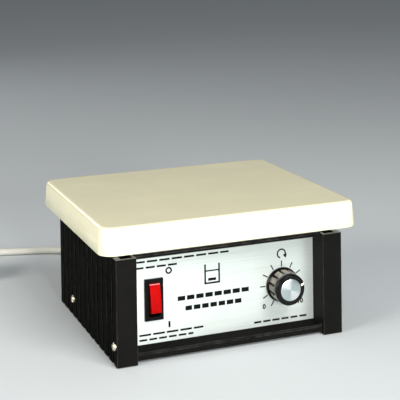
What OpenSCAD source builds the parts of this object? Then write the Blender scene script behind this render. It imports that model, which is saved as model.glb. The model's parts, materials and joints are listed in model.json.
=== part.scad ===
// Bench-top magnetic stirrer: an enamelled steel pan over a black extruded case.
// Millimetres. +X to the right, +Y to the back, +Z up. The origin is the stirring axis on the bench.

/* [Pan] */
// Width of the pan at its rim
pan_w = 203; // [196:1:220]
// Depth of the pan at its rim, front to back
pan_d = 173; // [168:1:185]
// Height of the pan's skirt
pan_h = 19.5; // [17:0.5:24]
// Sheet thickness of the pan
pan_wall = 1.5; // [1:0.1:2]
// Lean of the skirt from the vertical, in degrees
pan_draft = 4.5; // [1:0.5:7]
// Plan radius of the pan's corners at the rim
pan_corner = 11; // [8:0.5:16]
// Radius of the rolled top edge
pan_edge = 3; // [2:0.5:4]

/* [Case] */
// Height of the whole stirrer
height = 101; // [98:0.5:108]
// Outside width of the case
body_w = 178.5; // [176:0.5:184]
// Distance from the stirring axis to the front of the case
body_front = 80; // [80:0.5:82]
// Depth of the case, front to back
body_d = 156; // [156:0.5:160]
// Top of the case above the bench
body_top = 78; // [78:0.5:79]
// Width of the face of each corner post
post_w = 15.3; // [14:0.1:16]
// How far the front and rear panels sit behind the posts
recess = 17.5; // [16:0.5:18]
// Wall thickness of the side extrusions
wall = 2.2; // [2:0.1:2.4]
// Spacing of the ribs on the sides
rib_pitch = 12.4; // [12.4:0.1:12.6]
// Width of the groove between two ribs
groove_w = 4; // [2:0.5:5]
// Depth of the grooves
rib_h = 2; // [1:0.25:2.5]
// Sheet thickness of the base and the motor deck
sheet = 1.2; // [1:0.1:1.2]

/* [Front panel] */
// Distance of the speed knob's axis to the right of the centre
knob_x = 47.4; // [44:0.1:50]
// Height of the speed knob's axis
knob_z = 37.4; // [34:0.1:42]
// Direction of the knob's pointer at rest, anticlockwise from the right
pointer_angle = 18; // [-60:1:240]
// Distance of the switch to the left of the centre
switch_x = 55.7; // [50:0.1:58]
// Height of the switch's centre
switch_z = 39.8; // [34:0.1:44]
// Tilt of the rocker to either side
rocker_tilt = 10; // [8:1:12]

/* [Drive] */
// Height of the motor's lamination stack
stack_h = 20; // [16:1:22]
// Radius of the motor's rotor
rotor_r = 12.9; // [12:0.1:13]
// Radius of the motor's shaft
shaft_r = 2.5; // [2:0.1:3]
// Distance of each drive magnet from the stirring axis
magnet_x = 23; // [18:1:26]

/* [Mains lead] */
// Radius of the mains lead
lead_r = 3.2; // [3:0.1:3.6]
// Distance of the lead's entry to the left of the centre
lead_x = 30; // [25:1:40]
// Height of the lead's entry
lead_z = 26; // [24:1:30]

/* [Hidden] */
$fn = 48;

fit = 0.05;                                // play where two parts touch
play = 0.1;                                // play where two parts only pass each other
m3 = 1.5;
tap_r = m3 + fit;                          // a hole that an M3 screw fills
hole_r = m3 + play;                        // a hole that an M3 screw passes through
stud_r = 2;
stud_nut = [7, 3.2];                       // width across flats and height
big = 400;                                 // longer than any part is deep
yc = body_d / 2 - body_front;              // middle of the case, front to back
front_y = -body_front;
rear_y = body_d - body_front;
case_x = body_w / 2;                       // outer face of the ribs
skin_x = case_x - rib_h - wall;            // inner face of a cheek's web
post_x = case_x - post_w;                  // inner face of a post
panel_t = 1.6;
tray_gap = 0.15;                           // between the inside of the case and the trays
panel_y = front_y + recess;                // front face of the front panel
slot_y = panel_y + panel_t + tray_gap;         // rear wall of the panel's slot
slot_lip = 2;
inner_y = slot_y + slot_lip;               // where the open inside of the case begins
cheek_z = 0.3;                             // underside of the cheeks
post_top = body_top - 1.3;                 // the posts stop just below the top of the case
base_z = 3;                                // underside of the base plate
floor_z = base_z + sheet;
ledge_z = 7.5;                             // top of the bottom rails
lintel_z = 74.5;                           // underside of the top rails
deck_z = body_top - sheet;                 // underside of the motor deck
rim_z = height - pan_h;
pan_under = height - pan_wall;
rail_front = front_y + 4;
stud_xy = [70, 50];
foot_xy = [62, 44];
rib_count = 12;
screw_y = [-body_front + 4.5, yc + 3 * rib_pitch];   // the cheeks' lower screws
screw_z = 14.5;
deck_screw_y = [yc - 3 * rib_pitch, yc + 3 * rib_pitch];
deck_screw_z = 73.5;
rail_screw_x = [-58, 0, 58];
rail_screw_y = front_y + 12;
bolt_x = 19.5;                             // the motor's through bolts
stack_z = 42;                              // underside of the lamination stack
stator_bore = rotor_r + 0.4;
board_z = 10;
board_box = [[35, -42], [79, 42]];         // plan corners of the control board
board_margin = 4;                          // from the board's edges to its screws

black = [0.05, 0.05, 0.052];
steel = [0.62, 0.63, 0.65];

// ---------------------------------------------------------------- helpers

// Repeats its children at x and -x, y and -y, each copy keeping its own direction.
module at_corners(xy, y0 = 0) {
  for (sx = [-1, 1], sy = [-1, 1]) translate([sx * xy[0], y0 + sy * xy[1], 0]) children();
}

// Draws its children at the front of the case, or mirrored at the rear.
module at_rear() {
  translate([0, 2 * yc, 0]) mirror([0, 1, 0]) children();
}

// A box between two corners.
module box(a, b) {
  translate(a) cube([b[0] - a[0], b[1] - a[1], b[2] - a[2]]);
}

// A straight round rod between two points.
module rod(a, b, r) {
  d = b - a;
  length = norm(d);
  translate(a)
    rotate([0, acos(d[2] / length), atan2(d[1], d[0])])
      cylinder(h = length, r = r);
}

// A round wire that arches from a to b in a vertical plane, standing clear of the chord by the rise.
module wire(a, b, rise, r) {
  flat = norm([b[0] - a[0], b[1] - a[1]]);
  chord = [flat, b[2] - a[2]];
  c = norm(chord);
  radius = (c * c / 4 + rise * rise) / (2 * rise);
  up = [-chord[1], chord[0]] / c;
  centre = chord / 2 + up * (rise - radius);
  to_b = chord - centre;
  translate(a) rotate([90, 0, atan2(b[1] - a[1], b[0] - a[0])])
    translate(centre) rotate(atan2(to_b[1], to_b[0]))
      rotate_extrude(angle = 2 * asin(c / 2 / radius)) translate([radius, 0]) circle(r = r, $fn = 24);
}

// A cylinder along +Y from y0 to y1.
module cylinder_y(r, y0, y1, fn = 48) {
  translate([0, y1, 0]) rotate([90, 0, 0]) cylinder(h = y1 - y0, r = r, $fn = fn);
}

// A cylinder along +X from x0 to x1.
module cylinder_x(r, x0, x1, fn = 48) {
  translate([x0, 0, 0]) rotate([0, 90, 0]) cylinder(h = x1 - x0, r = r, $fn = fn);
}

// A hexagonal nut lying in the XY plane, with a plain bore.
module nut(across, h, bore) {
  difference() {
    cylinder(h = h, r = across / 2 / cos(30), $fn = 6);
    translate([0, 0, -1]) cylinder(h = h + 2, r = bore);
  }
}

// A slotted pan-head screw pointing down, its head standing on z = 0.
module pan_screw(length, r = m3, head_r = 2.9, head_h = 2) {
  difference() {
    union() {
      translate([0, 0, -length]) cylinder(h = length, r = r);
      cylinder(h = head_h * 0.55, r = head_r);
      translate([0, 0, head_h * 0.55]) cylinder(h = head_h * 0.45, r1 = head_r, r2 = head_r * 0.68);
    }
    translate([-head_r, -0.35, head_h * 0.45]) cube([2 * head_r, 0.7, head_h]);
  }
}

// ---------------------------------------------------------------- pan

// Filled cross-section of the pan's edge; x is the distance from the corner's axis.
module edge_region(rim_r, top, edge_r, bottom) {
  lean = tan(pan_draft);
  full_edge_z = pan_h - pan_edge;
  c = [pan_corner - (pan_edge + full_edge_z * sin(pan_draft)) / cos(pan_draft), full_edge_z];
  tangent = c + edge_r * [cos(pan_draft), sin(pan_draft)];
  polygon([[0, bottom], [rim_r - bottom * lean, bottom], tangent, c, [c[0], top], [0, top]]);
  translate(c) circle(r = edge_r);
}

module edge_section() {
  difference() {
    edge_region(pan_corner, pan_h, pan_edge, 0);
    edge_region(pan_corner - pan_wall / cos(pan_draft), pan_h - pan_wall, pan_edge - pan_wall, -1);
  }
}

module pan_side(length) {
  rotate([90, 0, 90]) translate([0, 0, -length / 2]) linear_extrude(length) edge_section();
}

module top_pan() color([0.93, 0.91, 0.82]) translate([0, 0, rim_z]) {
  half = [pan_w / 2 - pan_corner, pan_d / 2 - pan_corner];
  for (a = [0, 180]) rotate(a) {
    translate([0, half[1], 0]) pan_side(2 * half[0]);
    translate([half[0], 0, 0]) rotate(-90) pan_side(2 * half[1]);
    translate([half[0], half[1], 0]) rotate_extrude(angle = 90) edge_section();
    translate([-half[0], half[1], 0]) rotate(90) rotate_extrude(angle = 90) edge_section();
  }
  box([-half[0], -half[1], pan_h - pan_wall], [half[0], half[1], pan_h]);
}

stud_foot = body_top - 8;
spacer_r = 5;

module pan_studs() color(steel) at_corners(stud_xy)
  translate([0, 0, stud_foot]) cylinder(h = pan_under - stud_foot, r = stud_r);

module pan_spacers() color([0.12, 0.12, 0.12]) at_corners(stud_xy)
  translate([0, 0, body_top]) difference() {
    cylinder(h = pan_under - body_top, r = spacer_r);
    translate([0, 0, -1]) cylinder(h = big, r = stud_r + fit);
  }

module pan_nuts() color(steel) at_corners(stud_xy)
  translate([0, 0, deck_z - stud_nut[1]]) nut(stud_nut[0], stud_nut[1], stud_r + fit);

// ---------------------------------------------------------------- case

module grooves() {
  for (i = [0 : rib_count - 1])
    translate([-case_x - 1, yc + (i - (rib_count - 1) / 2) * rib_pitch - groove_w / 2])
      square([rib_h + 1, groove_w]);
}

// Plan outline of one end of the left cheek: a hollow post and the slot for a panel.
module cheek_end() {
  difference() {
    translate([-case_x, front_y]) square([post_w, recess - fit]);
    translate([-skin_x, front_y + wall]) square([skin_x - post_x - wall, recess - 2 * wall - fit]);
  }
  translate([-case_x, slot_y]) square([case_x - post_x, slot_lip]);
}

module cheek_outline() {
  difference() {
    union() {
      translate([-case_x, front_y]) square([case_x - skin_x, body_d]);
      cheek_end();
      translate([0, 2 * yc]) mirror([0, 1]) cheek_end();
    }
    grooves();
  }
}

// What is cut from the top of a left-hand front post.
module post_trim() {
  box([-case_x - 1, front_y - 1, post_top], [-post_x + 1, panel_y, body_top + 1]);
}

module left_cheek() color(black) difference() {
  translate([0, 0, cheek_z]) linear_extrude(body_top - cheek_z) cheek_outline();
  post_trim();
  translate([0, 2 * yc, 0]) mirror([0, 1, 0]) post_trim();
  for (y = screw_y) translate([0, y, screw_z]) cylinder_x(hole_r, -case_x - 1, -skin_x + 1);
  for (y = deck_screw_y) translate([0, y, deck_screw_z]) cylinder_x(hole_r, -case_x - 1, -skin_x + 1);
}

module right_cheek() mirror([1, 0, 0]) left_cheek();

block_top = 24;
cheek_screw_length = 8;

// Tapped blocks in the feet of the front posts, for the cheeks' front screws.
module corner_blocks() color([0.7, 0.7, 0.72]) for (side = [0, 1]) mirror([side, 0, 0])
  difference() {
    box([-skin_x + play, front_y + wall + play, cheek_z],
        [-post_x - wall - play, panel_y - wall - fit - play, block_top]);
    translate([0, screw_y[0], screw_z]) cylinder_x(tap_r, -skin_x - 1, -post_x);
  }

module cheek_screw(y, z, slot_angle) {
  translate([-case_x, y, z]) rotate([0, -90, 0]) rotate(slot_angle) pan_screw(cheek_screw_length);
}

module cheek_screws() color([0.8, 0.76, 0.62]) for (side = [0, 1]) mirror([side, 0, 0]) {
  for (y = screw_y) cheek_screw(y, screw_z, 20);
  for (y = deck_screw_y) cheek_screw(y, deck_screw_z, 65);
}

// Sheet outline shared by the base and the deck: full width between the posts' slots.
module tray_outline(front_gap) {
  half_x = skin_x - tray_gap;
  mouth_x = post_x - tray_gap;
  inner = inner_y + 2 * play;
  translate([-half_x, inner]) square([2 * half_x, 2 * (yc - inner)]);
  translate([-mouth_x, front_y + front_gap]) square([2 * mouth_x, body_d - 2 * front_gap]);
}

module tray_flanges(z0, z1) {
  end_gap = 2;
  flange_x = skin_x - tray_gap - sheet;
  for (side = [0, 1]) mirror([side, 0, 0])
    box([flange_x, inner_y + end_gap, z0], [flange_x + sheet, 2 * yc - inner_y - end_gap, z1]);
}

// Holes through a tray for the rails' screws.
module rail_screw_holes() {
  for (x = rail_screw_x, y = [rail_screw_y, 2 * yc - rail_screw_y])
    translate([x, y, 0]) cylinder(h = big, r = hole_r);
}

base_front_gap = 6.2;                      // from the front of the posts to the base plate
base_flange_top = 22;
vent_r = 11;                               // inner end of the fan's slots
vent_length = 11;
vent_w = 3;
foot_hole_r = m3 + tray_gap;
board_holes = [
  for (x = [board_box[0][0] + board_margin, board_box[1][0] - board_margin],
       y = [board_box[0][1] + board_margin, board_box[1][1] - board_margin]) [x, y]
];

module base_plate() color(steel) difference() {
  union() {
    translate([0, 0, base_z]) linear_extrude(sheet) tray_outline(base_front_gap);
    tray_flanges(base_z, base_flange_top);
  }
  translate([0, screw_y[1], screw_z]) cylinder_x(tap_r, -case_x, case_x);
  at_corners(foot_xy) cylinder(h = big, r = foot_hole_r);
  rail_screw_holes();
  for (p = board_holes) translate([p[0], p[1], 0]) cylinder(h = big, r = hole_r);
  for (a = [0 : 30 : 330]) rotate(a) translate([vent_r, -vent_w / 2, 0]) cube([vent_length, vent_w, big]);
}

deck_front_gap = 8.2;                      // from the front of the posts to the motor deck
deck_flange_foot = 66;
grommet_hole_r = 4;
deck_vent_x = [36, 44, 52];
deck_vent_half = [1.5, 30];

module motor_deck() color(steel) difference() {
  union() {
    translate([0, 0, deck_z]) linear_extrude(sheet) tray_outline(deck_front_gap);
    tray_flanges(deck_flange_foot, body_top);
  }
  for (y = deck_screw_y) translate([0, y, deck_screw_z]) cylinder_x(tap_r, -case_x, case_x);
  cylinder(h = big, r = 14);
  for (x = [-bolt_x, bolt_x]) translate([x, 0, 0]) cylinder(h = big, r = grommet_hole_r);
  at_corners(stud_xy) cylinder(h = big, r = stud_r + 3 * play);
  rail_screw_holes();
  for (x = deck_vent_x, side = [-1, 1]) translate([side * x, 0, 0])
    box([-deck_vent_half[0], -deck_vent_half[1], deck_z - 1], [deck_vent_half[0], deck_vent_half[1], big]);
}

// How far the panels reach into the slots of the rails.
panel_tuck = 1.4;

module panel_blank() {
  half_x = skin_x - 4 * play;
  box([-half_x, panel_y, ledge_z - panel_tuck], [half_x, panel_y + panel_t, lintel_z + panel_tuck]);
}

module front_panel() color([0.86, 0.88, 0.87]) difference() {
  panel_blank();
  at_switch()
    box([-shell[0] - play, panel_y - 1, -shell[1] - play], [shell[0] + play, pivot_y, shell[1] + play]);
  at_knob() cylinder_y(bush_r + tray_gap, panel_y - 1, pivot_y);
  at_knob() translate([0, 0, -lug_drop]) cylinder_y(lug_r + play, panel_y - 1, pivot_y);
}

louvre_count = 10;
louvre_pitch = 6;
louvre_from = [12, 22];                    // X and Z of the first slot's corner
louvre_size = [3, 38];

module rear_panel() color(black) difference() {
  at_rear() panel_blank();
  translate([-lead_x, 0, lead_z]) cylinder_y(gland_r + fit, rear_y - recess - 5, rear_y);
  for (i = [0 : louvre_count - 1]) translate([louvre_from[0] + i * louvre_pitch, 0, louvre_from[1]])
    box([0, rear_y - recess - 5, 0], [louvre_size[0], rear_y, louvre_size[1]]);
}

// A rectangle between two corners.
module rect(a, b) {
  translate(a) square(b - a);
}

rail_foot = 1.5;                           // underside of the bottom rails
rail_skirt = 1.9;                          // thickness of the rail's front, below the ledge
rail_lip = [0.8, 1.2];                     // how far the ledge's lip stands out, and its height
bead = 1;                                  // the shadow groove under the lip
slot_lip_h = 2.5;                          // height of the lip behind a panel
slot_play = panel_tuck + play;

// Section of a bottom rail, in Y and Z: a ledge with a lip and a groove in its front face.
module bottom_rail_section() {
  difference() {
    union() {
      rect([rail_front, floor_z], [inner_y, ledge_z]);
      rect([rail_front, rail_foot], [rail_front + rail_skirt, ledge_z]);
      rect([rail_front - rail_lip[0], ledge_z - rail_lip[1]], [rail_front + play, ledge_z]);
      rect([slot_y, floor_z], [inner_y, ledge_z + slot_lip_h]);
    }
    rect([panel_y - fit, ledge_z - slot_play], [slot_y, ledge_z + big]);
    rect([rail_front - bead, ledge_z - rail_lip[1] - bead],
         [rail_front + rail_lip[0], ledge_z - rail_lip[1]]);
  }
}

lintel_front = 4;                          // thickness of the top rail's front, above the deck
lintel_groove = [0.5, 0.6];                // depth and height of the groove in its face

// Section of a top rail, which closes the case under the motor deck.
module top_rail_section() {
  groove_z = lintel_z + 1.6;
  difference() {
    union() {
      rect([rail_front, lintel_z], [inner_y, deck_z]);
      rect([rail_front, lintel_z], [rail_front + lintel_front, body_top]);
      rect([slot_y, lintel_z - slot_lip_h], [inner_y, deck_z]);
    }
    rect([panel_y - fit, -big], [slot_y, lintel_z + slot_play]);
    rect([rail_front - 1, groove_z], [rail_front + lintel_groove[0], groove_z + lintel_groove[1]]);
  }
}

// A rail between the posts, tapped from the height given for the screws that hold its tray.
module rail(holes_z) {
  length = 2 * (post_x - fit);
  difference() {
    translate([-length / 2, 0, 0]) rotate([90, 0, 90]) linear_extrude(length) children();
    for (x = rail_screw_x) translate([x, rail_screw_y, holes_z]) cylinder(h = 4, r = tap_r);
  }
}

module front_bottom_rail() color(black) rail(floor_z - 1) bottom_rail_section();
module front_top_rail() color(black) rail(lintel_z - 1) top_rail_section();
module rear_bottom_rail() at_rear() front_bottom_rail();
module rear_top_rail() at_rear() front_top_rail();

low_head = 1.6;                            // height of a low screw head

module rail_screws() color(steel) for (x = rail_screw_x, y = [rail_screw_y, 2 * yc - rail_screw_y]) {
  translate([x, y, base_z]) rotate([180, 0, 0]) pan_screw(3 * sheet, head_h = low_head);
  translate([x, y, body_top]) pan_screw(3.2, head_h = low_head);
}

foot_r = [6.4, 7, 3.2];                    // bottom, top and screw recess
foot_nut = [5.5, 2.4];                     // width across flats and height
foot_seat = 1.6;                           // height of the screw's seat

module rubber_feet() color([0.06, 0.06, 0.06]) at_corners(foot_xy) difference() {
  union() {
    cylinder(h = base_z - 1, r1 = foot_r[0], r2 = foot_r[1]);
    translate([0, 0, base_z - 1]) cylinder(h = 1, r = foot_r[1]);
  }
  translate([0, 0, -1]) cylinder(h = foot_seat + 1, r = foot_r[2]);
  translate([0, 0, -1]) cylinder(h = big, r = foot_hole_r);
}

module foot_screws() color(steel) at_corners(foot_xy) translate([0, 0, foot_seat])
  rotate([180, 0, 0]) pan_screw(floor_z + foot_nut[1] - foot_seat + 1.4, head_r = 2.8, head_h = 1.3);

module foot_nuts() color(steel) at_corners(foot_xy)
  translate([0, 0, floor_z]) nut(foot_nut[0], foot_nut[1], tap_r);

// ---------------------------------------------------------------- rocker switch

bezel = [7.05, 15.2, 2];                   // half width, half height and thickness
opening = [4.3, 12.4];                     // half width and half height
shell = [6.1, 13.9, 20];                   // half width, half height and depth behind the panel
shell_back = 2.5;
bezel_y = panel_y - bezel[2];
pivot_y = panel_y + 5;
trunnion_r = 1.5;
rocker_x = 3.9;                            // half width of the rocker
rocker_hollow = [2.9, 4.4];
nose = [1.2, 1.1, 6];                      // half width, tip radius and reach behind the pivot
contact_y = pivot_y + 8.2;
contact_lean = 0.6;                        // how far the contact tips for each degree of the rocker
blade = [1.7, 0.4, 9.2];
button_z = 8;
lamp_r = 1;
tab = [2.4, 0.4];                          // half width and half thickness
tab_z = 9;
tab_end = panel_y + 27;

module at_switch() {
  translate([-switch_x, 0, switch_z]) children();
}

module switch_housing() color(black) at_switch() difference() {
  union() {
    box([-bezel[0], bezel_y, -bezel[1]], [bezel[0], panel_y, bezel[1]]);
    box([-shell[0], panel_y, -shell[1]], [shell[0], panel_y + shell[2], shell[1]]);
  }
  box([-opening[0], bezel_y - 1, -opening[1]], [opening[0], panel_y + shell[2] - shell_back, opening[1]]);
  translate([0, pivot_y, 0]) cylinder_x(trunnion_r + fit, -bezel[0], bezel[0]);
  for (z = [-tab_z, 0, tab_z])
    box([-tab[0] - fit, panel_y + 16, z - tab[1] - fit], [tab[0] + fit, panel_y + 21, z + tab[1] + fit]);
}

// Half of the rocker's section as [depth from the pivot, height], from the face to the back.
rocker_half = [[-10.4, 9.5], [-10.2, 10], [-9.7, 10.4], [-7, 10.9], [-5, 11.2], [-3, 8.2], [2, 3.2]];

module rocker_section() {
  other_half = [for (i = [len(rocker_half) - 1 : -1 : 0]) [rocker_half[i][0], -rocker_half[i][1]]];
  polygon(concat(rocker_half, other_half));
}

// The rocker is drawn level, then tilted so that its lower end stands out.
module switch_rocker() color([0.8, 0.05, 0.05])
  translate([-switch_x, pivot_y, switch_z]) rotate([-rocker_tilt, 0, 0]) {
    difference() {
      translate([-rocker_x, 0, 0]) rotate([90, 0, 90]) linear_extrude(2 * rocker_x) rocker_section();
      box([-rocker_hollow[0], -8.4, -rocker_hollow[1]], [rocker_hollow[0], 3, rocker_hollow[1]]);
    }
    cylinder_x(trunnion_r, -opening[0] - 0.9, opening[0] + 0.9);
    box([-nose[0], -8.5, -nose[1]], [nose[0], nose[2], nose[1]]);
    translate([0, nose[2], 0]) cylinder_x(nose[1], -nose[0], nose[0]);
  }

// A see-saw blade on a round bar, which the rocker's nose tips towards one tab or the other.
module switch_contact() color([0.72, 0.55, 0.3])
  translate([-switch_x, contact_y, switch_z]) rotate([rocker_tilt * contact_lean, 0, 0]) {
    box([-blade[0], -blade[1], -blade[2]], [blade[0], blade[1], blade[2]]);
    for (z = [-button_z, button_z]) translate([0, 0, z]) cylinder_y(nose[1], -0.6, 0.9, 24);
    cylinder_x(2 * blade[1], -3, 3);
  }

module switch_terminals() color([0.75, 0.72, 0.6]) at_switch()
  for (at = [[-tab_z, 15.2], [0, 14.05], [tab_z, 15.2]])
    box([-tab[0], panel_y + at[1], at[0] - tab[1]], [tab[0], tab_end, at[0] + tab[1]]);

module switch_lamp() color([0.9, 0.45, 0.2, 0.6]) at_switch()
  translate([-opening[0] + lamp_r + 0.25, panel_y + 12.5, button_z + 0.5]) {
    rod([0, 0, -3], [0, 0, 2], lamp_r);
    translate([0, 0, 2]) sphere(r = lamp_r);
  }

// ---------------------------------------------------------------- knob and potentiometer

knob_back = panel_y - 0.5;
knob_front = panel_y - 16;
knob_r = 11.8;                             // across the lobes and the front collar
skirt_r = 13.1;
skirt_h = 2.2;
collar_h = 5.1;
cap_r = 8.2;
cap_seat = 0.9;                            // depth of the cap's recess
flute = [12.1, 1.15];                      // distance of a flute's axis, and its radius
edge_cut = 1.2;                            // chamfer round the front of the collar
grub_y = panel_y - 8.6;
grub_r = 1.5;
pointer_x = cap_r + 0.6;                   // inner end of the pointer
pointer_w = 1.5;
pot_front = panel_y + panel_t;
pot_back = pot_front + 12;
pot_r = 12;
pot_wall = 1.2;
bush_r = 4.7;
spindle_r = 3;
lug_r = 1.2;
lug_drop = 8;

module at_knob() {
  translate([knob_x, 0, knob_z]) children();
}

// A ring about the knob's axis from a list of [radius, y] points.
module turned(points) {
  rotate([-90, 0, 0]) rotate_extrude($fn = 96) polygon(points);
}

// The collar's turned shape from y0 back; grow pushes it out, so that the pointer can follow it.
module collar(y0, grow) {
  turned([[0, y0], [knob_r - edge_cut + grow, y0], [knob_r + grow, knob_front + edge_cut],
          [knob_r + grow, knob_front + 0.9 * collar_h], [knob_r - 0.7, knob_front + collar_h],
          [0, knob_front + collar_h]]);
}

module knob_body() color(black) at_knob() difference() {
  union() {
    turned([[0, knob_back - skirt_h], [skirt_r - 1, knob_back - skirt_h], [skirt_r, knob_back - 0.9],
            [skirt_r, knob_back], [0, knob_back]]);
    translate([0, knob_back - skirt_h, 0]) rotate([90, 0, 0])
      linear_extrude(knob_back - skirt_h - knob_front - collar_h) difference() {
        circle(r = knob_r, $fn = 96);
        for (a = [0 : 30 : 330]) rotate(a + 15) translate([flute[0], 0]) circle(r = flute[1], $fn = 64);
      }
    collar(knob_front, 0);
  }
  cylinder_y(cap_r + fit, knob_front - 1, knob_front + cap_seat);
  cylinder_y(8.6, panel_y - 6.2, panel_y);
  cylinder_y(spindle_r, knob_front + 2.5, panel_y);
  rotate([0, -90 - pointer_angle, 0]) translate([0, grub_y, 0]) cylinder(h = 14, r = grub_r + fit);
  pointer_bar(pointer_x, pointer_w, 3.4);
}

// A bar along the pointer's direction, from a radius out past the collar.
module pointer_bar(from, width, depth) {
  rotate([0, -pointer_angle, 0])
    box([from, knob_front - 1, -width / 2], [knob_r + 1, knob_front + depth, width / 2]);
}

module knob_cap() color([0.82, 0.83, 0.85]) at_knob()
  turned([[0, knob_front + cap_seat], [cap_r, knob_front + cap_seat], [cap_r, knob_front + 0.15],
          [cap_r - 0.4, knob_front - 0.1], [0, knob_front - 0.1]]);

module knob_pointer() color([0.95, 0.95, 0.95]) at_knob() intersection() {
  pointer_bar(pointer_x + 0.02, pointer_w - 0.04, 3.38);
  collar(knob_front - fit, fit);
}

module knob_grub_screw() color(steel) at_knob() rotate([0, -90 - pointer_angle, 0])
  translate([0, grub_y, spindle_r]) difference() {
    cylinder(h = 5.5, r = grub_r);
    translate([-2, -0.25, 4.7]) cube([4, 0.5, 1]);
  }

module pot_case() color([0.7, 0.68, 0.6]) at_knob() difference() {
  union() {
    cylinder_y(pot_r, pot_front, pot_back);
    translate([0, 0, -lug_drop]) cylinder_y(lug_r, panel_y + 0.2, pot_front);
  }
  cylinder_y(pot_r - pot_wall, pot_front + pot_wall, pot_back - pot_wall);
  cylinder_y(bush_r, panel_y, pot_front + 2);
}

module pot_bush() color([0.75, 0.7, 0.55]) at_knob() difference() {
  cylinder_y(bush_r, panel_y - 5.4, pot_front + pot_wall);
  cylinder_y(spindle_r + 0.03, panel_y - 6, pot_back);
}

module pot_shaft() color([0.8, 0.8, 0.78]) at_knob() {
  cylinder_y(spindle_r, knob_front + 2.5, pot_back - 5);
  cylinder_y(9, pot_back - 7, pot_back - 5);
  rotate([0, -pointer_angle, 0]) box([4, pot_back - 5, -1], [9.5, pot_back - 2, 1]);
}

module pot_washer() color(steel) at_knob() difference() {
  cylinder_y(7.6, knob_back, panel_y);
  cylinder_y(bush_r + fit, panel_y - 1, panel_y + 1);
}

module pot_nut() color(steel) at_knob()
  translate([0, knob_back, 0]) rotate([90, 0, 0]) nut(12.5, 2.4, bush_r + fit);

module pot_tags() color([0.75, 0.72, 0.6]) at_knob()
  for (x = [-5, 0, 5]) box([x - 1.2, pot_front + 4, -18], [x + 1.2, pot_front + 4.6, -pot_r]);

// ---------------------------------------------------------------- motor and magnets

core_r = 21;                               // outside of the laminations round the bore
core_x = 24;                               // half width of the frame that carries the coil
core_front = 12;
stator_back = 41;
window_x = 13;                             // half width of the coil's window
window_y = 19;
bar_y = 30;                                // near side of the bar that the coil is wound on
coil = [10.8, 4];                          // half width of the winding and its thickness
cheek = [1.2, 5];                          // thickness of the bobbin's cheeks and their overhang
shading_angles = [52, 232];
strap = [16.6, 1.6];                       // outer reach and end overhang of a shading ring
bolt_r = 2;
stack_top = stack_z + stack_h;
bush = [5, 7.5];
bracket_z = 7;                             // clear height under a bracket's bridge
bridge = [25, 6, 3];
boss_r = 8;
bronze = [0.78, 0.6, 0.3];
die_cast = [0.66, 0.67, 0.68];
shaft_foot = 15;
shaft_length = 75;
grommet_z = stack_top + bracket_z + bridge[2];
grommet_r = 6;
grommet_lip = 1.2;
arm_z = 86;                                // underside of the magnet arm
arm = [9, 8.5, 4];                         // reach beyond a magnet's axis, half width and thickness
hub = [8, 80, 10];                         // radius, underside and height of the arm's hub
magnet = [7, 8];                           // radius and height
magnet_seat = arm_z + 2;
arm_grub_z = 83;
fan_z = 18;
fan_hub = [6, 8.5];
fan_blade = [17, 11, 1.2];
fan_pitch = 32;

// Repeats its children on the motor's two bolts.
module at_bolts() {
  for (x = [-bolt_x, bolt_x]) translate([x, 0, 0]) children();
}

// Repeats its children on the two drive magnets' axes.
module at_magnets() {
  for (x = [-magnet_x, magnet_x]) translate([x, 0, 0]) children();
}

module motor_stator() color([0.42, 0.43, 0.46])
translate([0, 0, stack_z]) linear_extrude(stack_h) difference() {
  union() {
    circle(r = core_r, $fn = 96);
    rect([-core_x, -core_front], [core_x, stator_back]);
  }
  circle(r = stator_bore, $fn = 96);
  rect([-window_x, window_y], [window_x, bar_y]);
  for (a = shading_angles) rotate(a) rect([12, -0.8], [17, 0.8]);
  at_bolts() circle(r = bolt_r + fit);
}

module motor_coil() color([0.75, 0.38, 0.16]) difference() {
  union() {
    box([-coil[0], bar_y - coil[1], stack_z - coil[1]],
        [coil[0], stator_back + coil[1], stack_top + coil[1]]);
    for (side = [0, 1]) mirror([side, 0, 0])
      box([coil[0] + 0.5, bar_y - cheek[1], stack_z - cheek[1]],
          [coil[0] + 0.5 + cheek[0], stator_back + cheek[1], stack_top + cheek[1]]);
  }
  box([-core_x, bar_y - fit, stack_z - fit], [core_x, stator_back + fit, stack_top + fit]);
}

// Copper straps that sit in the slots beside the bore and over the ends of the stack.
module shading_rings() color([0.8, 0.45, 0.25]) for (a = shading_angles) rotate(a) difference() {
  box([stator_bore + 0.1, -0.6, stack_z - strap[1]], [strap[0], 0.6, stack_top + strap[1]]);
  box([stator_bore + 1.2, -1, stack_z - fit], [strap[0] - 1, 1, stack_top + fit]);
}

module motor_rotor() color([0.55, 0.56, 0.58]) difference() {
  union() {
    translate([0, 0, stack_z]) cylinder(h = stack_h, r = rotor_r);
    translate([0, 0, stack_z - 1.5]) cylinder(h = stack_h + 3, r = rotor_r - 1.8);
  }
  cylinder(h = big, r = shaft_r);
}

module motor_shaft() color([0.75, 0.76, 0.78])
  translate([0, 0, shaft_foot]) cylinder(h = shaft_length, r = shaft_r);

// A die-cast bridge across the end of the stack; drawn for the upper end.
module bracket() color(die_cast) difference() {
  union() {
    box([-bridge[0], -bridge[1], bracket_z], [bridge[0], bridge[1], bracket_z + bridge[2]]);
    at_bolts() cylinder(h = bracket_z, r = 4.5);
    translate([0, 0, 4]) cylinder(h = bush[1], r = boss_r);
  }
  cylinder(h = big, r = bush[0]);
  at_bolts() translate([0, 0, -1]) cylinder(h = big, r = bolt_r + fit);
}

module upper_bracket() translate([0, 0, stack_top]) bracket();
module lower_bracket() translate([0, 0, stack_z]) mirror([0, 0, 1]) bracket();

module motor_bushes() color(bronze) for (z = [stack_top + 4, stack_z - 4 - bush[1]])
  translate([0, 0, z]) difference() {
    cylinder(h = bush[1], r = bush[0]);
    translate([0, 0, -1]) cylinder(h = big, r = shaft_r + 0.03);
  }

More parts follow.
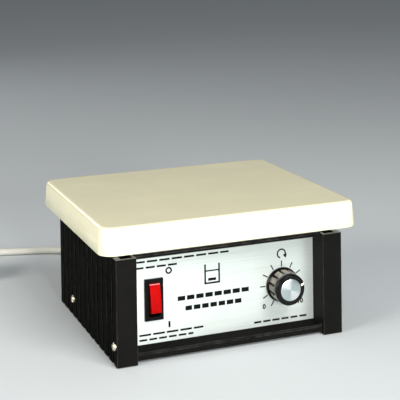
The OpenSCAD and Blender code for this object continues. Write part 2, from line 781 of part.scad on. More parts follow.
module motor_bolts() color(steel) {
  bolt_foot = stack_z - bracket_z - bridge[2];
  at_bolts() {
    translate([0, 0, bolt_foot]) cylinder(h = body_top + grommet_lip + 5.8 - stack_z, r = bolt_r);
    translate([0, 0, bolt_foot - 2.8]) cylinder(h = 2.8, r = 3.4);
    translate([0, 0, body_top + grommet_lip]) nut(7, 3, bolt_r);
  }
}

module motor_grommets() color([0.1, 0.1, 0.1]) at_bolts() difference() {
  union() {
    translate([0, 0, grommet_z]) cylinder(h = deck_z - grommet_z, r = grommet_r);
    translate([0, 0, deck_z]) cylinder(h = sheet, r = grommet_hole_r - fit);
    translate([0, 0, body_top]) cylinder(h = grommet_lip, r = grommet_r);
  }
  cylinder(h = big, r = bolt_r + fit);
}

module magnet_arm() color([0.72, 0.73, 0.75]) difference() {
  reach = magnet_x + arm[0];
  union() {
    translate([0, 0, hub[1]]) cylinder(h = hub[2], r = hub[0]);
    box([-reach, -arm[1], arm_z], [reach, arm[1], arm_z + arm[2]]);
  }
  cylinder(h = big, r = shaft_r);
  translate([0, 0, arm_grub_z]) rotate([90, 0, 0]) cylinder(h = 20, r = tap_r);
  at_magnets() translate([0, 0, magnet_seat]) cylinder(h = big, r = magnet[0]);
}

module drive_magnets() color([0.25, 0.25, 0.27]) at_magnets()
  translate([0, 0, magnet_seat]) cylinder(h = magnet[1], r = magnet[0]);

module arm_grub_screw() color(steel) translate([0, -shaft_r, arm_grub_z]) rotate([90, 0, 0]) difference() {
  cylinder(h = 5, r = m3);
  translate([-2, -0.25, 4.2]) cube([4, 0.5, 2]);
}

module cooling_fan() color([0.85, 0.85, 0.82]) difference() {
  union() {
    translate([0, 0, fan_z]) cylinder(h = fan_hub[1], r = fan_hub[0]);
    for (a = [0 : 60 : 300]) rotate(a) translate([fan_hub[0] - 1, 0, fan_z + fan_hub[1] / 2])
      rotate([fan_pitch, 0, 0]) translate([0, -fan_blade[1] / 2, -fan_blade[2] / 2]) cube(fan_blade);
  }
  cylinder(h = big, r = shaft_r);
}

// ---------------------------------------------------------------- speed control

board_t = 1.6;
board_top = board_z + board_t;
resistor_y = [-30, -24, -18, -12];
can_y = [-28, -14];
choke_r = [5.2, 2.8];                      // ring radius and wire bundle radius
fin = [8, 1.4, 24];                        // length, thickness and height
fin_pitch = 5;
block = [[-76, -2], [-60, 34], 15];        // plan corners and height of the terminal block
block_ways = [4, 16, 28];
block_bore = [2.2, 1.9];                   // radius of a screw well and of a wire port

module control_board() color([0.55, 0.42, 0.2]) difference() {
  box([board_box[0][0], board_box[0][1], board_z], [board_box[1][0], board_box[1][1], board_top]);
  for (p = board_holes) translate([p[0], p[1], 0]) cylinder(h = big, r = hole_r);
}

module board_spacers() color([0.85, 0.84, 0.8])
for (p = board_holes) translate([p[0], p[1], floor_z]) difference() {
  cylinder(h = board_z - floor_z, r = 3);
  translate([0, 0, -1]) cylinder(h = big, r = hole_r);
}

module board_screws() color(steel) for (p = board_holes)
  translate([p[0], p[1], board_top]) pan_screw(board_top - base_z, head_h = low_head);

// A resistor lying along X, its leads bent down to the board.
module resistor(x, y) {
  body_half = 3.5;
  lead_half = 6;
  stand = 1.6;
  wire_r = 0.4;
  translate([x, y, board_top + stand]) {
    rod([-body_half, 0, 0], [body_half, 0, 0], 1.4);
    rod([-lead_half, 0, 0], [lead_half, 0, 0], wire_r);
    for (s = [-lead_half, lead_half]) rod([s, 0, wire_r], [s, 0, -stand], wire_r);
  }
}

// Film capacitor, choke, electrolytics, resistors and relay.
module board_parts() {
  color([0.8, 0.65, 0.1]) box([40, 10, board_top], [50, 30, board_top + 15]);
  color([0.75, 0.3, 0.1]) translate([63, 24, board_top + choke_r[0] + choke_r[1]]) rotate([90, 0, 0])
    rotate_extrude($fn = 48) translate([choke_r[0], 0]) circle(r = choke_r[1], $fn = 24);
  color([0.1, 0.1, 0.12]) for (y = can_y) translate([60, y, board_top]) cylinder(h = 13, r = 5);
  color([0.75, 0.62, 0.45]) for (y = resistor_y) resistor(45, y);
  color([0.15, 0.3, 0.6]) box([42, -4, board_top], [54, 6, board_top + 10]);
}

module triac_heatsink() color([0.25, 0.25, 0.27]) translate([68, -12, board_top]) {
  for (i = [0 : 4]) translate([0, i * fin_pitch, 0]) cube(fin);
  box([-1.5, 0, 0], [0, 4 * fin_pitch + fin[1], fin[2]]);
}

module terminal_block() color([0.9, 0.88, 0.82]) difference() {
  box([block[0][0], block[0][1], floor_z], [block[1][0], block[1][1], floor_z + block[2]]);
  for (y = block_ways) {
    translate([(block[0][0] + block[1][0]) / 2, y, floor_z + 7]) cylinder(h = big, r = block_bore[0]);
    translate([0, y, floor_z + 5]) cylinder_x(block_bore[1], block[0][0] - 1, block[1][0] + 1);
  }
}

module internal_wiring() {
  mains_r = 1.2;
  coil_r = 1.1;
  signal_r = 0.8;
  port = [block[1][0] + 1.8, 0, floor_z + 5];
  pad_z = board_top + 1.3;
  color([0.45, 0.25, 0.12])
    wire([-switch_x, tab_end + 1.5, switch_z - tab_z], port + [0, 3.6, 0], 14, mains_r);
  color([0.15, 0.3, 0.65]) wire(port + [0, 28, 0], [46, 33, pad_z], 9, mains_r);
  color([0.35, 0.6, 0.25]) wire(port + [0, 16, 0], [-44, 4, floor_z + 1.3], 4, mains_r);
  color([0.8, 0.15, 0.12]) wire([12, 47.3, 50], [52, 36, pad_z], 6, coil_r);
  color([0.8, 0.7, 0.2])
    wire([knob_x, pot_front + 4.3, knob_z - 19.2], [knob_x + 2, -38, pad_z], 3, signal_r);
}

// ---------------------------------------------------------------- mains lead

gland_y = rear_y - recess;
gland_r = 7.45;
grip_r = [9.5, 5.6];                       // the gland's flange and its sleeve
gland_reach = [-12, 3, 14];                // its inner end, flange and sleeve end from the panel
drop_r = 60;
lay_z = lead_r + 0.2;
drop_a = acos(1 - (lead_z - lay_z) / (2 * drop_r));
drop_y = rear_y + 12;                      // where the lead starts to bend down
lead_end_y = 40;                           // where the lead ends inside the case
lay_y = drop_y + 2 * drop_r * sin(drop_a);
sweep_r = 60;
sweep_a = 74;
run_start = [-lead_x - sweep_r * (1 - cos(sweep_a)), lay_y + sweep_r * sin(sweep_a)];
run = 38;
run_end = run_start + run * [-sin(sweep_a), cos(sweep_a)];
hook_r = 28;
hook_centre = run_end + hook_r * [-cos(sweep_a), -sin(sweep_a)];
plug_at = hook_centre + [-hook_r, 0];

joint_gap = 0.1;                           // cut from each end of a stretch of lead
joint_extra = 0.05;                        // how much a joint is wider than the lead
plug_grip = 6;                             // length of lead inside the plug

// Part of a torus about Z, starting on +X and stopping just short of both ends.
module bend(radius, angle) {
  trim = joint_gap / radius * 180 / PI;
  rotate(trim) rotate_extrude(angle = angle - 2 * trim, $fn = 96)
    translate([radius, 0]) circle(r = lead_r, $fn = 32);
}

// Fills the gap between two stretches of the lead.
module lead_joint(p) {
  translate(p) sphere(r = lead_r + joint_extra);
}

module mains_lead() color([0.72, 0.72, 0.68]) {
  drop_mid = [-lead_x, drop_y + drop_r * sin(drop_a), (lead_z + lay_z) / 2];
  run_a = [run_start[0], run_start[1], lay_z];
  run_b = [run_end[0], run_end[1], lay_z];
  along = (run_b - run_a) / run;
  plug_entry = [plug_at[0], plug_at[1], lay_z];
  translate([-lead_x, 0, lead_z]) cylinder_y(lead_r, lead_end_y, drop_y - joint_gap);
  translate([-lead_x, drop_y, lead_z - drop_r]) rotate([0, -90, 0]) bend(drop_r, drop_a);
  translate([-lead_x, lay_y, lay_z + drop_r]) rotate([0, -90, 0]) rotate(180) bend(drop_r, drop_a);
  translate([-lead_x - sweep_r, lay_y, lay_z]) bend(sweep_r, sweep_a);
  rod(run_a + joint_gap * along, run_b - joint_gap * along, lead_r);
  translate([hook_centre[0], hook_centre[1], lay_z]) rotate(sweep_a) bend(hook_r, 180 - sweep_a);
  rod(plug_entry - [0, joint_gap, 0], plug_entry - [0, plug_grip, 0], lead_r);
  for (p = [[-lead_x, drop_y, lead_z], drop_mid, [-lead_x, lay_y, lay_z], run_a, run_b, plug_entry])
    lead_joint(p);
}

module lead_gland() color(black) translate([-lead_x, 0, lead_z]) difference() {
  union() {
    cylinder_y(gland_r, gland_y + gland_reach[0], gland_y + 1);
    cylinder_y(grip_r[0], gland_y, gland_y + gland_reach[1]);
    cylinder_y(grip_r[1], gland_y + gland_reach[1], gland_y + gland_reach[2]);
  }
  cylinder_y(lead_r + fit, gland_y + gland_reach[0] - 1, gland_y + gland_reach[2] + 1);
}

plug_top = 19;
plug_r = 18;
plug_mid = [plug_at[0], plug_at[1] - 34];  // the middle of the plug's face
plug_neck = 5.5;
blade_size = [6.3, 1.6, 23];
blade_sunk = 6;                            // how deep a blade sits in the plug

// Blades as [x, y, angle] about the middle of the plug.
plug_blades = [[-7.9, 4, 60], [7.9, 4, -60], [0, -10.3, 90]];

// Flat blades, or their slots when play is added round each.
module blades(extra = 0) {
  for (p = plug_blades) translate([p[0], p[1], plug_top - blade_sunk]) rotate(p[2])
    translate([-blade_size[0] / 2 - extra, -blade_size[1] / 2 - extra, 0])
      cube([blade_size[0] + 2 * extra, blade_size[1] + 2 * extra, blade_size[2]]);
}

module plug_body() color([0.72, 0.72, 0.68]) translate([plug_mid[0], plug_mid[1], 0]) difference() {
  union() {
    cylinder(h = plug_top, r = plug_r);
    box([-10, 4, 0], [10, 22, plug_top - 4]);
    translate([0, 26, lay_z + 2.3]) cylinder_y(plug_neck, -6, 4);
  }
  translate([0, 26, lay_z]) cylinder_y(lead_r + fit, 1.5, 10);
  blades(fit);
}

module plug_pins() color([0.78, 0.7, 0.45]) translate([plug_mid[0], plug_mid[1], 0]) blades();

top_pan();
pan_studs();
pan_spacers();
pan_nuts();
left_cheek();
right_cheek();
corner_blocks();
cheek_screws();
base_plate();
motor_deck();
front_panel();
rear_panel();
front_bottom_rail();
front_top_rail();
rear_bottom_rail();
rear_top_rail();
rail_screws();
rubber_feet();
foot_screws();
foot_nuts();
switch_housing();
switch_rocker();
switch_contact();
switch_terminals();
switch_lamp();
knob_body();
knob_cap();
knob_pointer();
knob_grub_screw();
pot_case();
pot_bush();
pot_shaft();
pot_nut();
pot_washer();
pot_tags();
motor_stator();
motor_coil();
shading_rings();
motor_rotor();
motor_shaft();
upper_bracket();
lower_bracket();
motor_bushes();
motor_bolts();
motor_grommets();
magnet_arm();
drive_magnets();
arm_grub_screw();
cooling_fan();
control_board();
board_spacers();
board_screws();
board_parts();
triac_heatsink();
terminal_block();
internal_wiring();
mains_lead();
lead_gland();
plug_body();
plug_pins();
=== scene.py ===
"""Looks of a bench-top magnetic stirrer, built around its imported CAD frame.

Everything is in metres in the frame's own axes: +X right, +Y back, +Z up from the bench. Only the path of
the mains lead and the printed legend are worked out in millimetres.
"""
import json
import math

import bmesh
import bpy
from mathutils import Matrix, Vector

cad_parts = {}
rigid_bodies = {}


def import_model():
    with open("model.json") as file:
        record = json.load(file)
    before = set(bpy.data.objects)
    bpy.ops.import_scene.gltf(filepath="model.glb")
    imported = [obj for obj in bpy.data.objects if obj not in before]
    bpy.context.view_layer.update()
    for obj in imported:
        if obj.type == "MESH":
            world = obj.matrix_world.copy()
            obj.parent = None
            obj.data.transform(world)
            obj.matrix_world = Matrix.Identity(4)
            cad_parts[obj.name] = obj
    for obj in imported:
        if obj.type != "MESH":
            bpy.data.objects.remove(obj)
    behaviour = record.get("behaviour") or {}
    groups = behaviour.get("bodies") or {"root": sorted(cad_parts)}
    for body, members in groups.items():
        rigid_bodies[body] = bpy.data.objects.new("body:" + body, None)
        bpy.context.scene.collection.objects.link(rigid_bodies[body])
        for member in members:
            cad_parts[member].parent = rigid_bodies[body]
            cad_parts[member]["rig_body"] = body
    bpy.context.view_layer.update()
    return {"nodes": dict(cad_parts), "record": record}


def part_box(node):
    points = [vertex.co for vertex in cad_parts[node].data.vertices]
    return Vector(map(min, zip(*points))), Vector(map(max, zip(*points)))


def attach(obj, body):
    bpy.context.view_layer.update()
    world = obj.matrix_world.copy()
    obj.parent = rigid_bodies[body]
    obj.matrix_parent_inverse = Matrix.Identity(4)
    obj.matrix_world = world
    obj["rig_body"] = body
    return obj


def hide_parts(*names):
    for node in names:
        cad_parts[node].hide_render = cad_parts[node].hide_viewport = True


MM = 0.001
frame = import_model()


# ---------------------------------------------------------------- shader helpers

class Surface:
    """A material being built: a Principled shader and the nodes that feed it."""

    def __init__(self, name, color, roughness, metallic=0.0):
        self.material = bpy.data.materials.new(name)
        self.material.use_nodes = True
        self.material.diffuse_color = (*color, 1.0)
        self.tree = self.material.node_tree
        self.tree.nodes.clear()
        self.shader = self.add("ShaderNodeBsdfPrincipled")
        output = self.add("ShaderNodeOutputMaterial")
        self.link(self.shader.outputs["BSDF"], output.inputs["Surface"])
        self.set("Base Color", (*color, 1.0))
        self.set("Roughness", roughness)
        self.set("Metallic", metallic)
        self.place = self.add("ShaderNodeTexCoord").outputs["Object"]

    def add(self, kind):
        """A new node in the material."""
        return self.tree.nodes.new(kind)

    def link(self, source, target):
        """Feeds a node's input from another node's output."""
        self.tree.links.new(source, target)

    def set(self, name, value):
        """Gives one of the shader's inputs a number, a colour or another node's output."""
        socket = self.shader.inputs[name]
        if isinstance(value, bpy.types.NodeSocket):
            self.link(value, socket)
        else:
            socket.default_value = value

    def noise(self, size, detail=3.0, stretch=(1, 1, 1)):
        """Smooth noise from 0 to 1 whose blotches are about size metres across, longer where stretched."""
        mapping = self.add("ShaderNodeMapping")
        mapping.inputs["Scale"].default_value = [1 / s for s in stretch]
        self.link(self.place, mapping.inputs["Vector"])
        texture = self.add("ShaderNodeTexNoise")
        texture.inputs["Scale"].default_value = 1 / size
        texture.inputs["Detail"].default_value = detail
        self.link(mapping.outputs["Vector"], texture.inputs["Vector"])
        return texture.outputs["Fac"]

    def remap(self, value, low, high, new_low=0.0, new_high=1.0):
        """Carries the stretch from low to high of a value onto a new stretch, held at its ends."""
        node = self.add("ShaderNodeMapRange")
        self.link(value, node.inputs["Value"])
        node.inputs["From Min"].default_value = low
        node.inputs["From Max"].default_value = high
        node.inputs["To Min"].default_value = new_low
        node.inputs["To Max"].default_value = new_high
        return node.outputs["Result"]

    def maths(self, operation, a, b=0.0):
        """One sum on a and b, each a number or another node's output; some operations leave b unused."""
        node = self.add("ShaderNodeMath")
        node.operation = operation
        for socket, value in zip(node.inputs, (a, b)):
            if isinstance(value, bpy.types.NodeSocket):
                self.link(value, socket)
            else:
                socket.default_value = value
        return node.outputs["Value"]

    def mix(self, factor, a, b):
        """A colour between a and b; each is a colour or another node's output."""
        node = self.add("ShaderNodeMix")
        node.data_type = "RGBA"
        self.link(factor, node.inputs["Factor"])
        for socket, value in zip((node.inputs[6], node.inputs[7]), (a, b)):
            if isinstance(value, bpy.types.NodeSocket):
                self.link(value, socket)
            else:
                socket.default_value = (*value, 1.0)
        return node.outputs[2]

    def bump(self, height, depth):
        """Raises the surface by up to depth metres where height is 1."""
        node = self.add("ShaderNodeBump")
        node.inputs["Strength"].default_value = 1.0
        node.inputs["Distance"].default_value = depth
        self.link(height, node.inputs["Height"])
        self.set("Normal", node.outputs["Normal"])

    def edges(self, radius):
        """About 1 on edges that are sharper than the radius and 0 on flat ground."""
        flat, sharp = 0.99, 0.85           # how well the eased and the true normal agree on each
        bevel = self.add("ShaderNodeBevel")
        bevel.samples = 4
        bevel.inputs["Radius"].default_value = radius
        geometry = self.add("ShaderNodeNewGeometry")
        dot = self.add("ShaderNodeVectorMath")
        dot.operation = "DOT_PRODUCT"
        self.link(bevel.outputs["Normal"], dot.inputs[0])
        self.link(geometry.outputs["Normal"], dot.inputs[1])
        return self.remap(dot.outputs["Value"], flat, sharp)

    def part_of(self, vector, axis):
        """The X, Y or Z part of a vector."""
        split = self.add("ShaderNodeSeparateXYZ")
        self.link(vector, split.inputs["Vector"])
        return split.outputs[axis]

    def normal_part(self, axis):
        """The surface normal's X, Y or Z part."""
        return self.part_of(self.add("ShaderNodeNewGeometry").outputs["Normal"], axis)

    def place_part(self, axis):
        """A point's X, Y or Z, counted with the piece at rest."""
        return self.part_of(self.place, axis)

    def off_axis(self, x, z):
        """How far a point lies to the right of the line along Y through x and z, and how far above it.

        Both are counted where the point is now, so they stay put while the piece turns.
        """
        position = self.add("ShaderNodeNewGeometry").outputs["Position"]
        across = self.maths("SUBTRACT", self.part_of(position, "X"), x)
        up = self.maths("SUBTRACT", self.part_of(position, "Z"), z)
        return across, up

    def around(self, x, z):
        """The angle of a point seen along +Y from the line through x and z, in radians."""
        across, up = self.off_axis(x, z)
        return self.maths("ARCTAN2", up, across)

    def from_axis(self, x, z):
        """The distance from the line along Y through x and z."""
        squares = [self.maths("POWER", part, 2.0) for part in self.off_axis(x, z)]
        return self.maths("SQRT", self.maths("ADD", *squares))

    def streaks(self, value, pitch):
        """Noise along one number only, so that it draws straight streaks."""
        line = self.add("ShaderNodeCombineXYZ")
        self.link(self.maths("DIVIDE", value, pitch), line.inputs["X"])
        texture = self.add("ShaderNodeTexNoise")
        texture.inputs["Scale"].default_value = 1.0
        texture.inputs["Detail"].default_value = 2.0
        self.link(line.outputs["Vector"], texture.inputs["Vector"])
        return texture.outputs["Fac"]


# ---------------------------------------------------------------- places read from the CAD

def middle_of(node):
    """The middle of a node's front, as X and Z in metres."""
    node_low, node_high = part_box(node)
    return (node_low.x + node_high.x) / 2, (node_low.z + node_high.z) / 2


dial_x, dial_z = middle_of("pot_washer")
switch_x, switch_z = middle_of("switch_housing")
panel_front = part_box("front_panel")[0].y
rear_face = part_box("rear_panel")[1].y
case_side, case_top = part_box("right_cheek")[1].x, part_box("right_cheek")[1].z


# ---------------------------------------------------------------- materials

def moulded(name, color, roughness, grain=0.6 * MM, depth=0.006 * MM, shine=0.5, worn=None):
    """A plastic, rubber or painted finish: faint mottling, a fine grain and edges rubbed a little lighter."""
    s = Surface(name, color, roughness)
    s.set("Specular IOR Level", shine)
    light = tuple(min(1.0, c * 1.18 + 0.004) for c in color)
    mottled = s.mix(s.noise(9 * MM, 5), color, light)
    worn = worn or tuple(min(1.0, c * 1.5 + 0.02) for c in color)
    rubbed = s.maths("MULTIPLY", s.edges(0.5 * MM), s.remap(s.noise(3 * MM), 0.35, 0.75))
    s.set("Base Color", s.mix(rubbed, mottled, worn))
    s.set("Roughness", s.remap(s.noise(4 * MM, 6), 0.3, 0.7, roughness - 0.06, roughness + 0.08))
    s.bump(s.noise(grain, 2), depth)
    return s.material


def metal(name, color, roughness, stretch=(1, 1, 1), grain=0.25 * MM):
    """Bare or plated metal with fine tooling marks along the stretched axis and a patchy bloom."""
    s = Surface(name, color, roughness, 1.0)
    dull = tuple(c * 0.72 for c in color)
    s.set("Base Color", s.mix(s.remap(s.noise(5 * MM, 5), 0.4, 0.8), color, dull))
    marks = s.noise(grain, 3, stretch)
    s.set("Roughness", s.remap(marks, 0.3, 0.7, roughness - 0.08, roughness + 0.12))
    s.bump(marks, 0.004 * MM)
    return s.material


def enamel():
    """Glossy cream stove enamel over steel, with a slight orange peel, faint specks and a painted highlight
    that pales its edges.
    """
    cream, warm = (0.80, 0.77, 0.545), (0.76, 0.722, 0.495)
    # edge is the pale tone of the painted highlight along the pan's edges
    speck, edge = (0.42, 0.36, 0.24), (0.93, 0.915, 0.83)
    s = Surface("enamel", cream, 0.16)
    tone = s.mix(s.noise(45 * MM, 4), cream, warm)
    specks = s.remap(s.noise(0.7 * MM, 1), 0.765, 0.80, 0.0, 0.55)
    tone = s.mix(specks, tone, speck)
    # painted highlight: within 1.6 mm of an edge the cream is painted paler
    s.set("Base Color", s.mix(s.edges(1.6 * MM), tone, edge))
    s.set("Roughness", s.remap(s.noise(30 * MM, 8), 0.35, 0.7, 0.14, 0.26))
    s.set("Coat Weight", 0.25)
    s.set("Coat Roughness", 0.06)
    s.bump(s.noise(2.6 * MM, 2), 0.018 * MM)
    return s.material


def black_satin():
    """Satin black finish on extruded aluminium: ribs in painted shade, edges worn and painted light, die
    lines up the section, bare sawn ends.
    """
    s = Surface("black_satin", (0.004, 0.0036, 0.0032), 0.5)
    rib_floor, end_start = case_side - 5.25 * MM, case_top - 1.8 * MM
    # the third tone is painted shade for the ribs' sideways faces
    dark, pale, rib_painted_shade = (0.0030, 0.0029, 0.0025), (0.0072, 0.0068, 0.0061), (0.0022, 0.0025, 0.0022)
    # worn stands for edge wear together with a painted highlight along the edges
    worn, bare = (0.10, 0.098, 0.09), (0.62, 0.62, 0.60)
    satin_shine, dull_shine = 0.045, 0.006
    lines = s.noise(0.5 * MM, 3, (1, 1, 60))
    sideways = s.remap(s.maths("ABSOLUTE", s.normal_part("X")), 0.5, 0.8)
    outside = s.remap(s.maths("ABSOLUTE", s.place_part("X")), rib_floor, rib_floor + 1 * MM)
    ribs = s.maths("MULTIPLY", sideways, outside)
    upward = s.normal_part("Z")
    dull = s.maths("MAXIMUM", ribs, s.remap(upward, 0.5, 0.8))
    tone = s.mix(s.noise(14 * MM, 6), dark, pale)
    # painted shade: the outward sideways faces of the ribs are painted darker
    tone = s.mix(ribs, tone, rib_painted_shade)
    # edges painted lighter: partly wear, partly a painted highlight on the posts' and rails' edges
    rubbed = s.maths("MULTIPLY", s.edges(0.55 * MM), s.remap(s.noise(6 * MM, 5), 0.3, 0.65))
    tone = s.mix(rubbed, tone, worn)
    high_up = s.remap(s.place_part("Z"), end_start, end_start + 0.3 * MM)
    sawn = s.maths("MULTIPLY", s.remap(upward, 0.95, 0.99), high_up)
    s.set("Base Color", s.mix(sawn, tone, bare))
    s.set("Metallic", s.maths("MULTIPLY", sawn, 0.4))
    s.set("Specular IOR Level", s.remap(dull, 0.0, 1.0, satin_shine, dull_shine))
    s.set("Roughness", s.remap(lines, 0.3, 0.7, 0.46, 0.62))
    s.bump(lines, 0.008 * MM)
    return s.material


def brushed_panel():
    """Silver anodised sheet, brushed from side to side."""
    scratch, silver, streak = (0.50, 0.55, 0.525), (0.69, 0.75, 0.725), (0.73, 0.79, 0.765)
    s = Surface("brushed_panel", silver, 0.45, 0.6)
    grain = s.noise(0.16 * MM, 4, (160, 1, 1))
    broad = s.noise(1.2 * MM, 3, (60, 1, 1))
    tone = s.mix(grain, scratch, silver)
    s.set("Base Color", s.mix(s.remap(broad, 0.35, 0.75, 0.0, 0.45), tone, streak))
    s.set("Roughness", s.remap(grain, 0.3, 0.7, 0.40, 0.52))
    tangent = s.add("ShaderNodeTangent")
    tangent.direction_type = "RADIAL"
    tangent.axis = "Z"
    s.link(tangent.outputs["Tangent"], s.shader.inputs["Tangent"])
    s.set("Anisotropic", 0.8)
    s.set("Anisotropic Rotation", 0.25)
    s.bump(grain, 0.006 * MM)
    return s.material


def spun_aluminium():
    """Aluminium turned about the knob's axis, with a painted reflection: two opposite fan-shaped bright
    wedges in its colour.

    The painted wedges open along bright_way degrees from the right and stay there while the piece turns.
    """
    bright_way, ray_pitch = 125, 0.07
    # shade and glint are the dark and bright ends of the painted reflection
    shade, glint = (0.50, 0.58, 0.59), (1.0, 1.0, 1.0)
    s = Surface("spun_aluminium", (0.80, 0.83, 0.84), 0.24, 0.9)
    angle = s.around(dial_x, dial_z)
    turned = s.maths("SUBTRACT", angle, math.radians(bright_way))
    painted_fans = s.remap(s.maths("COSINE", s.maths("MULTIPLY", turned, 2.0)), -0.15, 0.75)
    rays = s.remap(s.streaks(angle, ray_pitch), 0.35, 0.65, 0.35, 1.0)
    # painted reflection: the base colour runs from shade to glint across the wedges and their rays
    s.set("Base Color", s.mix(s.maths("MULTIPLY", painted_fans, rays), shade, glint))
    s.set("Roughness", s.remap(s.noise(0.3 * MM, 3), 0.3, 0.7, 0.26, 0.36))
    return s.material


def knob_plastic():
    """Black phenolic knob: its lobes carry a painted sheen, dull and brownish, lighter towards the top as a
    painted highlight; its collar stays black.
    """
    s = Surface("knob_black", (0.007, 0.006, 0.005), 0.24)
    collar_back, skirt_front = panel_front - 11.6 * MM, panel_front - 2.7 * MM
    flute_floor, lobe_crest = 11.15 * MM, 11.6 * MM
    # the second tone is the painted sheen on the lobes' crests
    black, painted_sheen_brown = (0.004, 0.0036, 0.0032), (0.27, 0.245, 0.205)
    behind_collar = s.remap(s.place_part("Y"), collar_back - 1.0 * MM, collar_back)
    before_skirt = s.remap(s.place_part("Y"), skirt_front, skirt_front - 0.5 * MM)
    crest = s.remap(s.from_axis(dial_x, dial_z), flute_floor, lobe_crest)
    lobes = s.maths("MULTIPLY", s.maths("MULTIPLY", behind_collar, before_skirt), crest)
    lobes = s.maths("MULTIPLY", lobes, s.remap(s.noise(4 * MM, 4), 0.3, 0.6, 0.5, 1.0))
    # painted highlight: the lobes' sheen grows from the bottom of the knob to the top
    painted_top_light = s.remap(s.place_part("Z"), dial_z - 9 * MM, dial_z + 5 * MM, 0.25, 1.0)
    lobes = s.maths("MULTIPLY", lobes, painted_top_light)
    s.set("Base Color", s.mix(lobes, black, painted_sheen_brown))
    s.set("Roughness", s.remap(lobes, 0.0, 1.0, 0.24, 0.4))
    s.set("Specular IOR Level", s.remap(lobes, 0.0, 1.0, 0.2, 0.5))
    s.bump(s.noise(1.2 * MM, 3), 0.006 * MM)
    return s.material


def red_rocker():
    """Glossy red plastic with a painted highlight on its upper edge and painted shade towards its lower end.
    """
    # the second tone is painted shade, the third a painted highlight for the upper edge
    red, painted_lower_shade, painted_edge_highlight = (0.40, 0.0010, 0.0013), (0.27, 0.0006, 0.0009), (1.0, 0.70, 0.66)
    s = Surface("rocker_red", red, 0.18)
    # painted shade: the red darkens in patches towards the rocker's lower end
    lower = s.remap(s.place_part("Z"), switch_z + 7 * MM, switch_z - 11 * MM)
    tone = s.mix(s.maths("MULTIPLY", lower, s.remap(s.noise(3 * MM, 3), 0.2, 0.6)), red, painted_lower_shade)
    upward = s.normal_part("Z")
    # painted highlight: surfaces turned partly upwards along the upper edge are painted pale
    upper_edge = s.maths("MULTIPLY", s.remap(upward, 0.55, 0.75), s.remap(upward, 0.94, 0.88))
    s.set("Base Color", s.mix(s.maths("MULTIPLY", upper_edge, 0.6), tone, painted_edge_highlight))
    s.set("Specular IOR Level", s.remap(upper_edge, 0.0, 1.0, 0.07, 0.8))
    s.set("Roughness", s.remap(s.noise(2 * MM, 4), 0.3, 0.7, 0.16, 0.26))
    s.bump(s.noise(1.5 * MM, 2), 0.004 * MM)
    return s.material


def laminated():
    """Stacked motor laminations seen as fine level lines."""
    gap, sheet = (0.16, 0.16, 0.17), (0.42, 0.43, 0.45)
    s = Surface("lamination_steel", sheet, 0.45, 1.0)
    layers = s.noise(0.5 * MM, 1, (80, 80, 1))
    s.set("Base Color", s.mix(s.remap(layers, 0.45, 0.55), gap, sheet))
    s.bump(layers, 0.05 * MM)
    return s.material


def lamp_glass():
    """The switch's small lamp: clear glass with an uneven orange glow."""
    s = Surface("lamp_neon", (0.95, 0.55, 0.30), 0.08)
    s.set("Alpha", 0.5)
    s.set("Emission Color", (1.0, 0.35, 0.1, 1.0))
    s.set("Emission Strength", s.remap(s.noise(1 * MM, 1), 0.3, 0.7, 0.2, 0.8))
    return s.material


def board_parts_mix():
    """Mixed components: the tone changes from part to part with place."""
    amber, blue = (0.62, 0.42, 0.08), (0.10, 0.16, 0.30)
    s = Surface("component_mix", (0.35, 0.28, 0.18), 0.35)
    s.set("Base Color", s.mix(s.remap(s.noise(14 * MM, 0), 0.45, 0.55), amber, blue))
    s.bump(s.noise(0.5 * MM), 0.01 * MM)
    return s.material


BEZEL_BLACK, INK_BLACK = (0.0022, 0.0024, 0.0022), (0.002, 0.002, 0.0022)
BEZEL_WORN, INK_WORN = (0.012, 0.012, 0.012), (0.006, 0.006, 0.006)

FINISHES = {
    "enamel": enamel(),
    "black_satin": black_satin(),
    "panel_aluminium": brushed_panel(),
    "case_screw": metal("case_screw", (0.86, 0.78, 0.60), 0.22, (8, 1, 1)),
    "zinc_steel": metal("zinc_steel", (0.62, 0.63, 0.65), 0.34),
    "rubber": moulded("rubber", (0.022, 0.022, 0.023), 0.75, 0.4 * MM, 0.02 * MM),
    "switch_black": moulded("switch_black", BEZEL_BLACK, 0.36, shine=0.05, worn=BEZEL_WORN),
    "rocker_red": red_rocker(),
    "knob_black": knob_plastic(),
    "spun_aluminium": spun_aluminium(),
    "pointer_white": moulded("pointer_white", (0.82, 0.82, 0.79), 0.4),
    "brass": metal("brass", (0.78, 0.60, 0.28), 0.28),
    "lamp_neon": lamp_glass(),
    "lamination_steel": laminated(),
    "copper": metal("copper", (0.72, 0.33, 0.14), 0.30, (1, 1, 12), 0.3 * MM),
    "die_cast": metal("die_cast", (0.60, 0.61, 0.63), 0.50, grain=0.8 * MM),
    "ferrite": moulded("ferrite", (0.05, 0.05, 0.055), 0.5, 0.3 * MM, 0.02 * MM),
    "white_plastic": moulded("white_plastic", (0.76, 0.75, 0.70), 0.42),
    "board_resin": moulded("board_resin", (0.34, 0.22, 0.08), 0.45, 0.5 * MM, 0.01 * MM),
    "component_mix": board_parts_mix(),
    "heatsink_black": metal("heatsink_black", (0.05, 0.05, 0.055), 0.45, (1, 1, 20)),
    "wire_pvc": moulded("wire_pvc", (0.30, 0.22, 0.16), 0.38),
    "lead_pvc": moulded("lead_pvc", (0.50, 0.50, 0.46), 0.42, 0.5 * MM, 0.01 * MM),
    "ink": moulded("ink", INK_BLACK, 0.6, shine=0.05, worn=INK_WORN),
}


# ---------------------------------------------------------------- mesh helpers

def body_of(node):
    """The name of the body that a CAD node rides on."""
    return frame["nodes"][node]["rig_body"]


